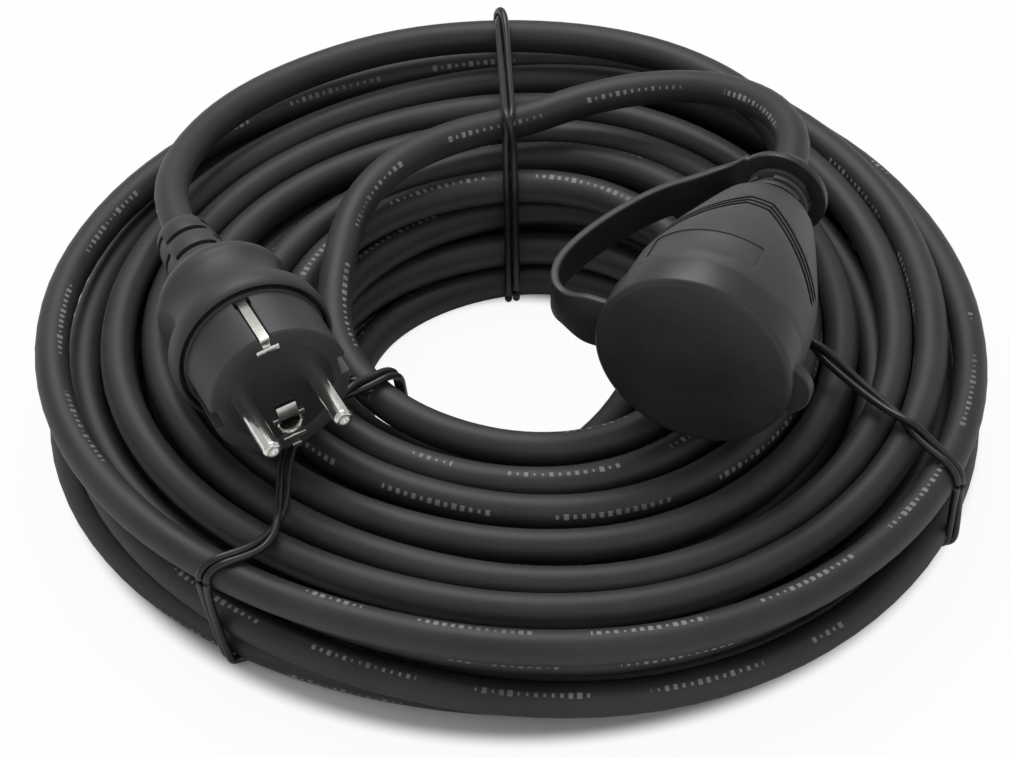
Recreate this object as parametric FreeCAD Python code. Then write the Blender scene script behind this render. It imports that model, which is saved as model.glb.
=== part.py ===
import FreeCAD, Part
import math
import os
from FreeCAD import Vector

# Coiled extension cord with a moulded earthed two-pin plug and a capped coupling socket.
# Millimetres, +Z up. The coil lies flat on z = 0 and its hole is round the Z axis.
# -Y is the near side, where the pins and the socket's mouth point.

# Cord and coil
cord_diameter = 9.0
layer_pitch = 9.8
layer_turns = [5.5, 6.0, 6.0, 6.5]
flat_depth = 0.5
outer_radius = 121.0
inner_radius = 47.0
first_radius = 44.0
start_angle = 180.0
climb_turns = 0.5
last_climb_turns = 0.25
last_climb = 4.9
start_lean = 94.0
# At each quarter of a turn: how far the loops are drawn in, and the slope of that per radian
quarter_shape = {0: (0.99, -0.04), 90: (0.975, -0.14), 180: (1.022, 0.06), 270: (1.01, 0.12)}

# Plug: centre of its face, direction of its pins and direction from the left to the right pin
plug_face = Vector(-58.3, -60.7, 61.0)
plug_axis = Vector(0.399, -0.913, 0.082)
plug_pin_line = Vector(0.897, 0.407, 0.173)
pin_radius = 2.4
pin_length = 19.0
pin_spacing = 19.0
pin_root_radius = 2.1
pin_tail_radius = 1.6
pin_tail_end = -20.5
plug_front_radius = 18.4
plug_front_length = 17.5
plug_length = 72.0
plug_cord_end = 56.0
bridge_radius = 14.0
bridge_length = 16.0
earth_offset = 10.0
earth_bore_radius = 2.45
earth_sleeve_radius = 3.1

# Socket: centre of the cap's face, and the direction that its mouth points in
socket_face = Vector(42.8, -55.3, 65.7)
socket_heading = 249.2
socket_length = 78.5
socket_cord_end = 63.0
recess_radius = 19.5
recess_depth = 17.5
insert_radius = 21.8
insert_base = 6.0
contact_length = 19.0
contact_radius = 3.2
boss_radius = 4.2
body_gap = 0.3
cap_radius = 25.8
cap_thickness = 2.6
ring_width = 2.2
ring_radius = 12.5
ring_front = -68.6
relief_radius = 8.3
strap_width = 10.5
strap_thickness = 2.1

# Inner conductors
wire_radius = 1.4
wire_play = 0.05
crimp_radius = 2.3
crimp_length = 7.5

# Ties
tie_radius = 1.1
tie_spread = 1.3
tie_play = 0.15
channel_width = 6.4
channel_depth = 2.6


os.makedirs("parts", exist_ok=True)


def save(name, shape):
    shape.exportStep(os.path.join("parts", name + ".step"))
    print(name, "valid", shape.isValid(), "solids", len(shape.Solids), "volume", round(shape.Volume))


def cylinder(radius, low, high, x=0.0, y=0.0):
    return Part.makeCylinder(radius, high - low, Vector(x, y, low))


def box(x0, x1, y0, y1, z0, z1):
    return Part.makeBox(x1 - x0, y1 - y0, z1 - z0, Vector(x0, y0, z0))


def rounded_corners(corners, closed=False):
    """Straight edges through corners (point, radius), each corner rounded by a tangent arc."""
    count = len(corners)
    trims = []
    for i, (point, radius) in enumerate(corners):
        if radius == 0 or (not closed and i in (0, count - 1)):
            trims.append((point, None, point))
            continue
        before = (corners[i - 1][0] - point).normalize()
        after = (corners[(i + 1) % count][0] - point).normalize()
        half_turn = (math.pi - before.getAngle(after)) / 2
        reach = radius * math.tan(half_turn)
        middle = (before + after).normalize()
        inside = radius / math.cos(half_turn) - radius
        trims.append((point + before * reach, point + middle * inside, point + after * reach))
    edges = []
    for i in range(count):
        start, through, end = trims[i]
        if through is not None:
            edges.append(Part.Arc(start, through, end).toShape())
        if i + 1 < count or closed:
            following = trims[(i + 1) % count][0]
            if end.distanceToPoint(following) > 1e-6:
                edges.append(Part.LineSegment(end, following).toShape())
    return Part.Wire(edges)


def route_corners(points, name=None):
    """Give each point of a route the largest arc that its two runs allow."""
    corners = [(points[0], 0)]
    smallest = None
    for before, point, after in zip(points, points[1:], points[2:]):
        to_here = point - before
        onward = after - point
        turn = to_here.getAngle(onward)
        radius = 0.45 * min(to_here.Length, onward.Length) / math.tan(turn / 2)
        smallest = radius if smallest is None else min(smallest, radius)
        corners.append((point, radius))
    corners.append((points[-1], 0))
    if name:
        radii = [round(radius, 1) for point, radius in corners[1:-1]]
        print(name, "bend radii", radii, "smallest", round(smallest, 1))
    return corners


def sweep(path, radius):
    """A round section carried along a path."""
    first = path.OrderedEdges[0]
    start = first.valueAt(first.FirstParameter)
    heading = first.tangentAt(first.FirstParameter)
    section = Part.Wire(Part.makeCircle(radius, start, heading))
    return path.makePipeShell([section], True, False)


def tube(points, radius, name=None):
    path = rounded_corners(route_corners(points, name))
    shape = sweep(path, radius)
    if name:
        expected = math.pi * radius ** 2 * path.Length
        print(name, "length", round(path.Length), "volume ratio", round(shape.Volume / expected, 4))
    return shape


def turned(corners):
    """A solid of revolution about Z from corners (radius, height, rounding)."""
    outline = rounded_corners([(Vector(r, 0, z), f) for r, z, f in corners], closed=True)
    return Part.Face(outline).revolve(Vector(0, 0, 0), Vector(0, 0, 1), 360)


def placed(shape, origin, x_axis, z_axis):
    """Carry a shape from its own axes to its place in the assembly."""
    z_axis = Vector(z_axis).normalize()
    y_axis = z_axis.cross(x_axis).normalize()
    x_axis = y_axis.cross(z_axis)
    matrix = FreeCAD.Matrix(
        x_axis.x, y_axis.x, z_axis.x, origin.x,
        x_axis.y, y_axis.y, z_axis.y, origin.y,
        x_axis.z, y_axis.z, z_axis.z, origin.z,
    )
    moved = shape.copy()
    moved.Placement = FreeCAD.Placement(matrix).multiply(shape.Placement)
    return moved


# The coil: four layers of loops that wind out, in, out and in again, clockwise from above
total_turns = sum(layer_turns)
layer_ends = [sum(layer_turns[:count]) for count in range(len(layer_turns) + 1)]
bottom_height = cord_diameter / 2 - flat_depth


def layer_at(turn):
    """Layer that a turn is in, and the inner radius and pitch of that layer."""
    layer = max(i for i in range(len(layer_turns)) if layer_ends[i] <= turn)
    low = first_radius if layer == 0 else inner_radius
    return layer, low, (outer_radius - low) / layer_turns[layer]


def coil_radius(turn):
    """Radius before the loops are drawn in, and its slope per turn."""
    if turn == 0:
        return first_radius, start_lean
    layer, low, pitch = layer_at(turn)
    if turn in layer_ends[1:-1]:
        pitch_before = layer_at(turn - 1)[2]
        side = -1 if layer % 2 else 1
        extreme = outer_radius if layer % 2 else inner_radius
        both = (pitch + pitch_before) / 2
        return extreme + side * both * climb_turns / 4, side * (pitch - pitch_before) / 2
    along = turn - layer_ends[layer]
    if layer % 2 == 0:
        return low + pitch * along, pitch
    return outer_radius - pitch * along, -pitch


def coil_height(turn):
    """Height of the centre line, and its slope per turn: it climbs round each reversal and at the end."""
    for layer, end in enumerate(layer_ends[1:-1]):
        past = turn - end
        if abs(past) <= climb_turns / 2:
            share = past / climb_turns + 0.5
            height = (layer + share ** 2 * (3 - 2 * share)) * layer_pitch
            return bottom_height + height, 6 * share * (1 - share) * layer_pitch / climb_turns
    level = bottom_height + layer_at(turn)[0] * layer_pitch
    share = max(0, (turn - total_turns + last_climb_turns) / last_climb_turns)
    return level + last_climb * share ** 2, 2 * last_climb * share / last_climb_turns


def coil_station(turn):
    """Point and heading of the centre line at a quarter of a turn."""
    degrees = start_angle - 360 * turn
    angle = math.radians(degrees)
    drawn_in, drawn_slope = quarter_shape[round(degrees) % 360]
    base, base_slope = coil_radius(turn)
    height, height_slope = coil_height(turn)
    radius = base * drawn_in
    outward = base_slope * drawn_in - 2 * math.pi * base * drawn_slope
    around = -2 * math.pi * radius
    out = Vector(math.cos(angle), math.sin(angle), 0)
    along = Vector(-math.sin(angle), math.cos(angle), 0)
    heading = out * outward + along * around + Vector(0, 0, height_slope)
    return out * radius + Vector(0, 0, height), heading.normalize()


def tangent_arc(start, corner, end):
    """Arc from start to end whose end tangents meet at corner."""
    middle = (start + end) * 0.5
    rise = corner - middle
    half = (end - start).Length / 2
    sagitta = half * math.tan(math.atan2(rise.Length, half) / 2)
    return Part.Arc(start, middle + rise.normalize() * sagitta, end).toShape()


def biarc(start, start_heading, end, end_heading):
    """Two arcs that leave start and reach end with the given headings."""
    chord = end - start
    both = start_heading + end_heading
    spread = 2 * (1 - start_heading.dot(end_heading))
    slant = chord.dot(both)
    reach = (math.sqrt(slant ** 2 + spread * chord.dot(chord)) - slant) / spread
    first_corner = start + start_heading * reach
    second_corner = end - end_heading * reach
    join = (first_corner + second_corner) * 0.5
    return [tangent_arc(start, first_corner, join), tangent_arc(join, second_corner, end)]


stations = [coil_station(quarter / 4) for quarter in range(round(total_turns * 4) + 1)]
coil_start = stations[0][0] - stations[0][1] * cord_diameter
coil_end = stations[-1][0] + stations[-1][1] * cord_diameter
coil_edges = [Part.LineSegment(coil_start, stations[0][0]).toShape()]
for (near, near_heading), (far, far_heading) in zip(stations, stations[1:]):
    coil_edges += biarc(near, near_heading, far, far_heading)
coil_edges.append(Part.LineSegment(stations[-1][0], coil_end).toShape())
coil_path = Part.Wire(coil_edges)

# The plug's lead: from inside the strain relief over the far side, under the socket and down the hole
plug_rear = -Vector(plug_axis).normalize()
plug_lead_points = [
    plug_face + plug_rear * plug_cord_end,
    plug_face + plug_rear * (plug_length + 12),
    Vector(-90.5, 44.0, 48.6),
    Vector(-79.5, 68.0, 45.3),
    Vector(-61.5, 86.0, 43.6),
    Vector(-36.0, 99.5, 43.4),
    Vector(-8.0, 104.5, 43.4),
    Vector(20.0, 102.5, 43.4),
    Vector(43.0, 94.0, 43.4),
    Vector(61.0, 79.0, 43.8),
    Vector(71.1, 60.0, 44.9),
    Vector(72.9, 41.0, 45.3),
    Vector(67.1, 22.9, 45.3),
    Vector(57.0, 8.0, 46.1),
    Vector(47.0, -4.9, 43.6),
    Vector(36.0, -18.1, 36.2),
    Vector(25.9, -31.7, 25.1),
    Vector(10.7, -39.9, 15.2),
    Vector(-4.7, -41.6, 9.0),
    Vector(-18.8, -38.7, 6.0),
    Vector(-30.4, -32.0, 4.6),
    Vector(-38.9, -21.6, 4.0),
    coil_start,
]

# The socket's lead: from the coil's last loop over the far side and into the socket
socket_rear = Vector(-math.cos(math.radians(socket_heading)), -math.sin(math.radians(socket_heading)), 0)
socket_lead_points = [
    coil_end,
    Vector(-45.7, 23.9, 41.4),
    Vector(-40.4, 36.8, 44.2),
    Vector(-30.8, 48.5, 45.2),
    Vector(-16.5, 59.1, 44.5),
    Vector(1.1, 65.8, 43.8),
    Vector(18.2, 72.6, 46.2),
    Vector(37.3, 73.2, 50.3),
    Vector(55.9, 65.1, 56.0),
    Vector(69.8, 47.7, 62.0),
    socket_face + socket_rear * (socket_length + 7.6),
    socket_face + socket_rear * socket_cord_end,
]


def least_gap(path, step=4.0, skip=30.0):
    """Least space between a wound tube and itself, measured on points of its centre line."""
    points = path.discretize(Number=int(path.Length / step))
    spacing = path.Length / (len(points) - 1)
    apart = int(skip / spacing)
    cells = {}
    least = None
    for i, point in enumerate(points):
        cell = tuple(int(math.floor(value / 12)) for value in point)
        for dx in (-1, 0, 1):
            for dy in (-1, 0, 1):
                for dz in (-1, 0, 1):
                    for j in cells.get((cell[0] + dx, cell[1] + dy, cell[2] + dz), ()):
                        if i - j > apart:
                            distance = point.distanceToPoint(points[j])
                            least = distance if least is None else min(least, distance)
        cells.setdefault(cell, []).append(i)
    return least - cord_diameter


def tie_points(inner, outer, over):
    """Closed loop round the ring in the upright plane through two plan points."""
    low = tie_radius + tie_play
    top = bottom_height + (len(layer_turns) - 1) * layer_pitch + cord_diameter / 2 + low
    plan = [(0.0, low), *over, (1.0, top), (1.0, low)]
    loop = []
    for share, height in plan:
        point = inner + (outer - inner) * share
        loop.append(Vector(point.x, point.y, top if height is None else height))
    return loop


def tie(points, rounding):
    """Two coated wires side by side, closed round the ring."""
    across = (points[-1] - points[0]).cross(Vector(0, 0, 1)).normalize()
    wires = []
    for side in (-1, 1):
        moved = [(point + across * side * tie_spread, rounding) for point in points]
        path = rounded_corners(moved, closed=True)
        wires.append(sweep(path, tie_radius))
    return Part.makeCompound(wires)


def channel(inner, outer):
    """Space under the lowest loops for a tie that runs from inner to outer."""
    along = Vector(outer - inner)
    run = along.Length + 20
    shape = box(-10, run - 10, -channel_width / 2, channel_width / 2, -2, channel_depth)
    return placed(shape, inner, along, Vector(0, 0, 1))


# Each tie: where it stands in the hole and outside the ring, and the shares and heights where it
# crosses the top, raised where it goes over a lead
ties = {
    "tie_far": (Vector(-1.5, 39.8, 0), Vector(-5.5, 123.0, 0), [(0.0, 42.0), (0.18, 50.4), (0.82, 50.4)]),
    "tie_left": (Vector(-27.0, -24.4, 0), Vector(-81.5, -91.5, 0), [(0.07, 42.0), (0.25, 42.0), (0.36, None)]),
    "tie_right": (Vector(39.6, 10.1, 0), Vector(112.5, -61.0, 0), [(0.0, 50.6), (0.17, 50.6), (0.32, None)]),
}


def make_cord():
    coil = sweep(coil_path, cord_diameter / 2)
    below = box(-200, 200, -200, 200, -10, 0)
    for inner, outer, over in ties.values():
        below = below.fuse(channel(inner, outer))
    coil = coil.cut(below)
    section = math.pi * cord_diameter ** 2 / 4
    print("coil length", round(coil_path.Length), "volume ratio", round(coil.Volume / section / coil_path.Length, 4))
    print("coil least gap to itself", round(least_gap(coil_path), 2))
    save("cord_coil", coil)
    save("plug_lead", tube(plug_lead_points, cord_diameter / 2, "plug_lead").cut(below))
    save("socket_lead", tube(socket_lead_points, cord_diameter / 2, "socket_lead"))


def make_ties():
    for name, (inner, outer, over) in ties.items():
        save(name, tie(tie_points(inner, outer, over), 3.0))


# Inside the plug and the socket: three cores that leave the cord and end in crimps
core_places = {"live": (-1.75, -1.0), "neutral": (1.75, -1.0), "earth": (0.0, 2.0)}
crimp_places = {"live": -pin_spacing / 2, "neutral": pin_spacing / 2, "earth": 0.0}


def core_route(core, cord_end, crimp_rear):
    x, y = core_places[core]
    end_x = crimp_places[core]
    low = -cord_end
    bend_low = low + 3
    bend_high = crimp_rear - 2
    return [
        Vector(x, y, low),
        Vector(x, y, bend_low),
        Vector(end_x, 0, bend_high),
        Vector(end_x, 0, crimp_rear + crimp_length / 2),
    ]


def core_tube(route, radius):
    corners = [(route[0], 0), (route[1], 3.0), (route[2], 3.0), (route[3], 0)]
    return sweep(rounded_corners(corners), radius)


def crimp(core, rear):
    outer = cylinder(crimp_radius, rear, rear + crimp_length, crimp_places[core])
    inner = cylinder(pin_tail_radius, rear - 1, rear + crimp_length + 1, crimp_places[core])
    return outer.cut(inner)


def wiring(cord_end, rears):
    """The cores and the crimps on their ends."""
    wires = {core: core_tube(core_route(core, cord_end, rears[core]), wire_radius) for core in core_places}
    crimps = {core: crimp(core, rears[core]) for core in core_places}
    return wires, crimps


def wiring_space(cord_end, rears):
    """The space that the cores and crimps take in a solid moulding."""
    shapes = []
    for core in core_places:
        rear = rears[core]
        shapes.append(core_tube(core_route(core, cord_end, rear), wire_radius + wire_play))
        shapes.append(cylinder(crimp_radius, rear, rear + crimp_length, crimp_places[core]))
    return shapes


def place_plug(shape):
    return placed(shape, plug_face, plug_pin_line, plug_axis)


def plug_pin(side):
    x = side * pin_spacing / 2
    tip = 0.9
    shaft = turned([
        (0, -2, 0), (pin_root_radius, -2, 0), (pin_root_radius, 0, 0),
        (pin_radius, 0, 0), (pin_radius, pin_length, tip), (0, pin_length, 0),
    ])
    dimple = Part.makeSphere(1.5, Vector(0, 0, pin_length + 0.7))
    tail = cylinder(pin_tail_radius, pin_tail_end, -2)
    pin = shaft.cut(dimple).fuse(tail).removeSplitter()
    pin.translate(Vector(x, 0, 0))
    return pin


def plug_earth_clip(side):
    """Side strip that is folded over the rim, with a wide end on the face."""
    edge = plug_front_radius
    strip = box(-1.4, 1.4, edge - 1, edge, -plug_front_length, 0)
    reach = 4.6
    face = box(-3.1, 3.1, edge - reach, edge - reach + 1.6, -1, 0)
    link = box(-1.2, 1.2, edge - reach, edge, -1, 0)
    clip = strip.fuse(face).fuse(link).removeSplitter()
    if side < 0:
        clip.rotate(Vector(0, 0, 0), Vector(0, 0, 1), 180)
    return clip


def plug_outer():
    """Outer shape of the moulding: front, flange, grip, shoulder and strain relief."""
    front = plug_front_radius
    return turned([
        (0, 0, 0),
        (front, 0, 0.8),
        (front, -plug_front_length, 0),
        (21.0, -plug_front_length, 1.4),
        (21.0, -22.5, 1.6),
        (19.2, -24.5, 2.0),
        (17.6, -36.0, 6.0),
        (14.6, -45.0, 4.0),
        (9.2, -47.5, 1.5),
        (7.0, -plug_length, 1.0),
        (0, -plug_length, 0),
    ])


def relief_slots(first, last, rows, depth_radius, half_width, thickness):
    """Cross slots of a strain relief, each row turned by a quarter from the one before."""
    slots = []
    for row in range(rows):
        centre = first + (last - first) * row / (rows - 1)
        for side in (-1, 1):
            slot = box(-half_width, half_width, depth_radius, 16, centre - thickness / 2, centre + thickness / 2)
            slot.rotate(Vector(0, 0, 0), Vector(0, 0, 1), 90 * side + 90 * (row % 2))
            slots.append(slot)
    return slots


def make_plug():
    pins = {"plug_pin_left": plug_pin(-1), "plug_pin_right": plug_pin(1)}
    clips = {"plug_earth_clip_upper": plug_earth_clip(1), "plug_earth_clip_lower": plug_earth_clip(-1)}
    strap_top = -plug_front_length
    strap = box(-3, 3, -plug_front_radius, plug_front_radius, strap_top - 1, strap_top)
    sleeve = cylinder(earth_sleeve_radius, strap_top, 0, 0, -earth_offset)
    bore = cylinder(earth_bore_radius, strap_top + 1.5, 1, 0, -earth_offset)
    sleeve_body = sleeve.cut(bore)
    rears = {"live": -26.0, "neutral": -26.0, "earth": strap_top - 1 - crimp_length}
    wires, crimps = wiring(plug_cord_end, rears)

    bridge = cylinder(bridge_radius, -bridge_length, 0)
    for other in (*pins.values(), *clips.values(), sleeve):
        bridge = bridge.cut(other)

    body = plug_outer().cut(cylinder(bridge_radius, -bridge_length, 1))
    body = body.cut(cylinder(cord_diameter / 2, -plug_length - 1, -plug_cord_end))
    for other in (strap, sleeve, *pins.values(), *clips.values(), *wiring_space(plug_cord_end, rears)):
        body = body.cut(other)
    for side in (-1, 1):
        guide = box(16.0, 19.5, -2.7, 2.7, -plug_front_length, 1)
        guide.rotate(Vector(0, 0, 0), Vector(0, 0, 1), 90 - 90 * side)
        body = body.cut(guide)
    for slot in relief_slots(-51.5, -68.0, 5, 5.4, 5.2, 1.9):
        body = body.cut(slot)

    save("plug_body", place_plug(body))
    save("plug_bridge", place_plug(bridge))
    for name, shape in {**pins, **clips}.items():
        save(name, place_plug(shape))
    save("plug_earth_strap", place_plug(strap))
    save("plug_earth_sleeve", place_plug(sleeve_body))
    for core in core_places:
        save("plug_wire_" + core, place_plug(wires[core]))
        save("plug_crimp_" + core, place_plug(crimps[core]))


socket_across = Vector(-socket_rear.y, socket_rear.x, 0) * -1


def place_socket(shape):
    return placed(shape, socket_face, socket_across, socket_rear * -1)


mouth = -cap_thickness - body_gap
recess_floor = mouth - recess_depth
base_rear = recess_floor - insert_base
contact_front = recess_floor - 1.5
contact_rear = contact_front - contact_length


def socket_outer():
    return turned([
        (0, mouth, 0),
        (22.9, mouth, 0.6),
        (22.9, -10.0, 0),
        (24.6, -10.0, 1.0),
        (24.2, -24.0, 8.0),
        (20.2, -38.0, 12.0),
        (15.4, -51.0, 10.0),
        (12.6, -58.0, 3.0),
        (relief_radius, -58.0, 0),
        (relief_radius, -71.0, 1.0),
        (7.0, -socket_length, 1.0),
        (0, -socket_length, 0),
    ])


def socket_chamber():
    """Space in the moulding behind the carrier, for the contacts' bosses, the crimps and the cores."""
    step = base_rear - 1.2
    return turned([
        (0, base_rear, 0),
        (19.7, base_rear, 0),
        (19.7, step, 0),
        (16.0, step, 0),
        (16.0, -41.0, 0),
        (12.6, -51.5, 0),
        (6.8, -58.0, 0),
        (cord_diameter / 2, -61.5, 0),
        (cord_diameter / 2, -socket_cord_end, 0),
        (0, -socket_cord_end, 0),
    ])


def socket_contact(side):
    x = side * pin_spacing / 2
    shape = cylinder(contact_radius, contact_rear, contact_front, x)
    shape = shape.cut(cylinder(pin_radius + wire_play, contact_rear + 1, contact_front + 1, x))
    slit = box(-0.4, 0.4, -5, 5, contact_rear + 4, contact_front + 1)
    slit.translate(Vector(x, 0, 0))
    tail = cylinder(pin_tail_radius, contact_rear - 3.5, contact_rear, x)
    return shape.cut(slit).fuse(tail).removeSplitter()


spring_half_width = 2.8
spring_low = base_rear + body_gap


def earth_spring(side):
    """Strip that stands in the recess wall, bowed inward near its free end."""
    line = [
        (18.2, spring_low), (18.2, recess_floor + 1.5), (17.5, recess_floor + 8.5), (18.4, recess_floor + 13.0),
        (19.2, recess_floor + 13.0), (18.3, recess_floor + 8.5), (19.0, recess_floor + 1.5), (19.0, spring_low),
    ]
    outline = Part.makePolygon([Vector(-spring_half_width, y, z) for y, z in line + line[:1]])
    strip = Part.Face(outline).extrude(Vector(2 * spring_half_width, 0, 0))
    if side < 0:
        strip.rotate(Vector(0, 0, 0), Vector(0, 0, 1), 180)
    return strip


def make_socket():
    contacts = {"socket_contact_left": socket_contact(-1), "socket_contact_right": socket_contact(1)}
    strap = box(-3, 3, -19.4, 19.4, base_rear - 1, base_rear)
    crimp_front = contact_rear - 0.2
    rears = {
        "live": crimp_front - crimp_length,
        "neutral": crimp_front - crimp_length,
        "earth": base_rear - 1 - crimp_length,
    }
    wires, crimps = wiring(socket_cord_end, rears)

    insert = cylinder(insert_radius, base_rear, mouth)
    insert = insert.cut(cylinder(recess_radius, base_rear - 1, mouth + 1))
    carrier = cylinder(recess_radius, base_rear, recess_floor)
    for side in (-1, 1):
        carrier = carrier.fuse(cylinder(boss_radius, contact_rear, base_rear, side * pin_spacing / 2))
    for side in (-1, 1):
        x = side * pin_spacing / 2
        carrier = carrier.cut(cylinder(contact_radius, contact_rear - 1, contact_front, x))
        carrier = carrier.cut(cylinder(pin_radius + 0.35, contact_front - 1, mouth, x))
        slot_width = spring_half_width + 0.6
        slot = box(-slot_width, slot_width, 17.0, 20.8, base_rear - 1, mouth - 2.5)
        slot.rotate(Vector(0, 0, 0), Vector(0, 0, 1), 90 - 90 * side)
        insert = insert.cut(slot)
        carrier = carrier.cut(slot)

    body = socket_outer().cut(cylinder(insert_radius, base_rear, mouth + 1)).cut(socket_chamber())
    body = body.cut(cylinder(cord_diameter / 2, -socket_length - 1, -socket_cord_end))
    body = body.cut(box(-9.5, 9.5, 21.2, 30, -41.0, -28.0))

    save("socket_body", place_socket(body))
    save("socket_insert", place_socket(insert.removeSplitter()))
    save("socket_carrier", place_socket(carrier.removeSplitter()))
    for name, shape in contacts.items():
        save(name, place_socket(shape))
    save("socket_earth_spring_upper", place_socket(earth_spring(1)))
    save("socket_earth_spring_lower", place_socket(earth_spring(-1)))
    save("socket_earth_strap", place_socket(strap))
    for core in core_places:
        save("socket_wire_" + core, place_socket(wires[core]))
        save("socket_crimp_" + core, place_socket(crimps[core]))


# Cap, strap and ring, seen from above: the strap leaves the ring's left side and turns back to the cap
strap_points = [
    (-11.6, -69.3),
    (-15.6, -68.4),
    (-20.5, -62.2),
    (-27.5, -55.5),
    (-34.5, -44.0),
    (-40.0, -31.5),
    (-42.8, -19.5),
    (-40.0, -10.5),
    (-33.0, -6.6),
    (-25.0, -6.2),
]


def make_cap():
    skirt_inner = 22.9 + body_gap
    skirt_end = -9.7
    disc = turned([
        (0, 0, 0),
        (cap_radius, 0, 1.2),
        (cap_radius, skirt_end, 0.5),
        (skirt_inner, skirt_end, 0),
        (skirt_inner, -cap_thickness, 0),
        (0, -cap_thickness, 0),
    ])
    tab = box(23.5, 30.0, -5.5, 5.5, -5.2, -2.2)
    tab = tab.common(Part.makeCylinder(7.5, 3.2, Vector(22.5, 0, -5.3)))
    tab.rotate(Vector(0, 0, 0), Vector(0, 0, 1), -8)
    cap = disc.fuse(tab).removeSplitter()
    cap = cap.cut(cylinder(22.9 + body_gap, skirt_end - 1, -cap_thickness))
    save("socket_cap", place_socket(cap))

    ring = cylinder(ring_radius, ring_front - ring_width, ring_front)
    ring = ring.cut(cylinder(relief_radius, ring_front - ring_width - 1, ring_front + 1))
    save("tether_ring", place_socket(ring))

    corners = route_corners([Vector(x, 0, z) for x, z in strap_points], "cap_tether")
    path = rounded_corners(corners)
    start = path.OrderedEdges[0]
    begin = start.valueAt(start.FirstParameter)
    heading = start.tangentAt(start.FirstParameter)
    side = heading.cross(Vector(0, 1, 0)).normalize() * (strap_thickness / 2)
    tall = Vector(0, strap_width / 2, 0)
    section = Part.makePolygon([
        begin + side + tall, begin + side - tall, begin - side - tall, begin - side + tall, begin + side + tall,
    ])
    strap = path.makePipeShell([Part.Wire(section)], True, False)
    strap = strap.cut(cylinder(cap_radius, -30, 0)).cut(cylinder(ring_radius, -75, -55))
    save("cap_tether", place_socket(strap))


make_cord()
make_ties()
make_plug()
make_socket()
make_cap()
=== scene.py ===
import math

import bpy
import numpy as np
from mathutils import Matrix, Vector


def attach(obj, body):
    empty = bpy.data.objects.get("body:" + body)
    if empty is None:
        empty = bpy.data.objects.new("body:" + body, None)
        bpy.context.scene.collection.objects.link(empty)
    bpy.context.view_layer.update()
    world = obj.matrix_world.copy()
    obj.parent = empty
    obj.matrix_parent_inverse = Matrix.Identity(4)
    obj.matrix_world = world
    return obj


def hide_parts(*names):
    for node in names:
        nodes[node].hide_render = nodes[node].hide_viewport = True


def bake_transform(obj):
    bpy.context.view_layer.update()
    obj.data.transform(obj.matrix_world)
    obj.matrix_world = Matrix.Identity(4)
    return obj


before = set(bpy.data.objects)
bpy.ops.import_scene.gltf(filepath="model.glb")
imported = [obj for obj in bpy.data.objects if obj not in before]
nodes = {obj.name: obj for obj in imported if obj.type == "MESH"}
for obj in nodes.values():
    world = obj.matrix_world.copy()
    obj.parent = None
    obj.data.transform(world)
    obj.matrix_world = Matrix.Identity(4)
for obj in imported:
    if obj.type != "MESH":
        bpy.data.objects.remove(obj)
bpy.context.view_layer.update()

smooth_angle = math.radians(40)
bevel_angle = math.radians(35)
weld_distance = 1e-6


# Small helpers

def mm(*values):
    """Millimetres as written in the part's drawing, as a point in metres."""
    return Vector(values) / 1000


def deselect():
    if bpy.context.object and bpy.context.object.mode != "OBJECT":
        bpy.ops.object.mode_set(mode="OBJECT")
    bpy.ops.object.select_all(action="DESELECT")


def pick(piece):
    deselect()
    piece.select_set(True)
    bpy.context.view_layer.objects.active = piece
    return piece


def apply_modifier(piece, kind, **settings):
    pick(piece)
    modifier = piece.modifiers.new(kind.title(), kind)
    for name, value in settings.items():
        setattr(modifier, name, value)
    bpy.ops.object.modifier_apply(modifier=modifier.name)


def settle(piece, matrix=Matrix()):
    """Set a piece in its place, with the place in its mesh and its faces outward."""
    bpy.context.view_layer.update()
    piece.data.transform(matrix @ piece.matrix_world)
    piece.matrix_world = Matrix()
    pick(piece)
    bpy.ops.object.mode_set(mode="EDIT")
    bpy.ops.mesh.select_all(action="SELECT")
    bpy.ops.mesh.normals_make_consistent(inside=False)
    bpy.ops.object.mode_set(mode="OBJECT")


def lathe(name, outline, sides=96, closed=False):
    """A turned piece: a ring that is extruded and scaled through (radius, height) in millimetres.

    A closed outline ends where it starts, so its first ring stays open for the last one.
    """
    deselect()
    radius, height = outline[0]
    bpy.ops.mesh.primitive_circle_add(vertices=sides, radius=radius / 1000,
                                      location=(0, 0, height / 1000),
                                      fill_type="NOTHING" if closed else "NGON")
    piece = bpy.context.object
    piece.name = name
    bpy.ops.object.mode_set(mode="EDIT")
    bpy.ops.mesh.select_all(action="SELECT")
    for (near, low), (far, high) in zip(outline, outline[1:]):
        rise = (0, 0, (high - low) / 1000)
        bpy.ops.mesh.extrude_region_move(TRANSFORM_OT_translate={"value": rise})
        bpy.ops.transform.resize(value=(far / near, far / near, 1))
    bpy.ops.mesh.select_all(action="SELECT")
    bpy.ops.mesh.remove_doubles(threshold=weld_distance)
    bpy.ops.mesh.normals_make_consistent(inside=False)
    bpy.ops.object.mode_set(mode="OBJECT")
    settle(piece)
    return piece


def block(name, low, high, edge=0.0, turn=0.0):
    """A box between two corners in millimetres, with its edges rounded, turned about the Z axis."""
    deselect()
    middle = [(a + b) / 2000 for a, b in zip(low, high)]
    bpy.ops.mesh.primitive_cube_add(size=1, location=middle)
    piece = bpy.context.object
    piece.name = name
    piece.scale = [(b - a) / 1000 for a, b in zip(low, high)]
    settle(piece)
    if edge:
        apply_modifier(piece, "BEVEL", width=edge / 1000, segments=3)
    piece.data.transform(Matrix.Rotation(math.radians(turn), 4, "Z"))
    return piece


def combine(piece, other, operation="DIFFERENCE"):
    apply_modifier(piece, "BOOLEAN", object=other, operation=operation, solver="EXACT")
    bpy.data.objects.remove(other)


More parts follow.
